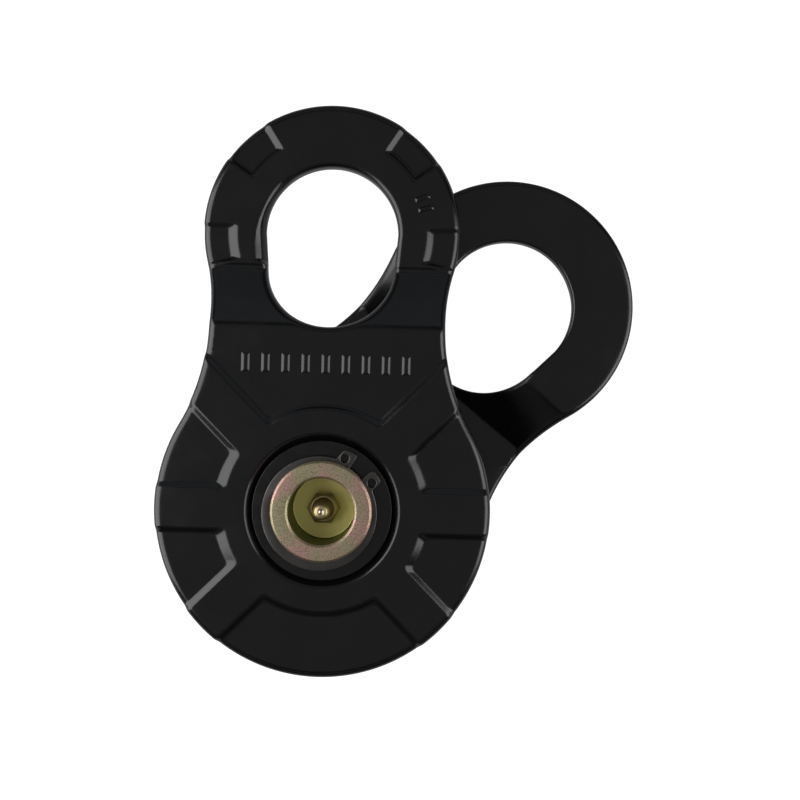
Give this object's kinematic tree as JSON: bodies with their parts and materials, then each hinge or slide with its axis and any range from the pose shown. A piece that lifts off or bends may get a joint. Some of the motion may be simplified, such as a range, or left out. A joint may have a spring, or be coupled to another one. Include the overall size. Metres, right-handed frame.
{
  "type": "single sheave block",
  "caption": "Swing-cheek snatch block: a grooved sheave on a greased axle between two joggled cheek plates with shackle eyes.",
  "frame": {"origin": "centre of the axle's rear head, level with the rear cheek's outer face", "axes": "+Z along the axle towards the grease nipple, +Y from the axle to the front cheek's eye"},
  "size_m": [0.1841, 0.221, 0.0461],
  "materials": {
    "black_powder_coat": "gloss black powder coat",
    "yellow_zinc": "turned, yellow zinc passivated",
    "black_oxide": "black oxide, oiled",
    "nipple_brass": "turned, yellow",
    "bright_steel": "polished steel",
    "sheave_steel": "black coated forging, satin",
    "bronze": "machined bronze",
    "nitrile": "moulded rubber",
    "washer_steel": "ground, zinc plated"
  },
  "bodies": {
    "rear_cheek": {"rear_cheek_plate": "black_powder_coat"},
    "axle": {"axle_pin": "yellow_zinc", "front_circlip": "black_oxide", "grease_nipple": "nipple_brass", "nipple_spring": "bright_steel"},
    "front_cheek": {"front_cheek_plate": "black_powder_coat"},
    "retaining_washer": {"front_retaining_washer": "black_oxide"},
    "sheave_wheel": {"sheave": "sheave_steel", "front_sheave_bush": "bronze", "rear_sheave_bush": "bronze", "front_grease_seal": "nitrile", "rear_grease_seal": "nitrile"},
    "thrust_washer_front": {"front_thrust_washer": "washer_steel"},
    "thrust_washer_rear": {"rear_thrust_washer": "washer_steel"},
    "check_ball": {"nipple_check_ball": "bright_steel"}
  },
  "joints": [
    {"name": "axle_turn", "type": "hinge", "parent": "rear_cheek", "child": "axle", "pos_m": [0, 0, 0], "axis": [0, 0, 1], "continuous": true},
    {"name": "front_cheek_swing", "type": "hinge", "parent": "axle", "child": "front_cheek", "pos_m": [0, 0, 0.0375], "axis": [0, 0, 1], "continuous": true},
    {"name": "sheave_spin", "type": "hinge", "parent": "axle", "child": "sheave_wheel", "pos_m": [0, 0, 0.0211], "axis": [0, 0, 1], "continuous": true},
    {"name": "retaining_washer_spin", "type": "hinge", "parent": "axle", "child": "retaining_washer", "pos_m": [0, 0, 0.0401], "axis": [0, 0, 1], "continuous": true},
    {"name": "front_thrust_washer_spin", "type": "hinge", "parent": "axle", "child": "thrust_washer_front", "pos_m": [0, 0, 0.0337], "axis": [0, 0, 1], "continuous": true},
    {"name": "rear_thrust_washer_spin", "type": "hinge", "parent": "axle", "child": "thrust_washer_rear", "pos_m": [0, 0, 0.0085], "axis": [0, 0, 1], "continuous": true},
    {"name": "check_ball_slide", "type": "slide", "parent": "axle", "child": "check_ball", "axis": [0, 0, -1], "range_m": [0, 0.0008], "stiffness_N_per_m": 300, "springref_m": -0.001, "deforming": ["nipple_spring"]}
  ]
}
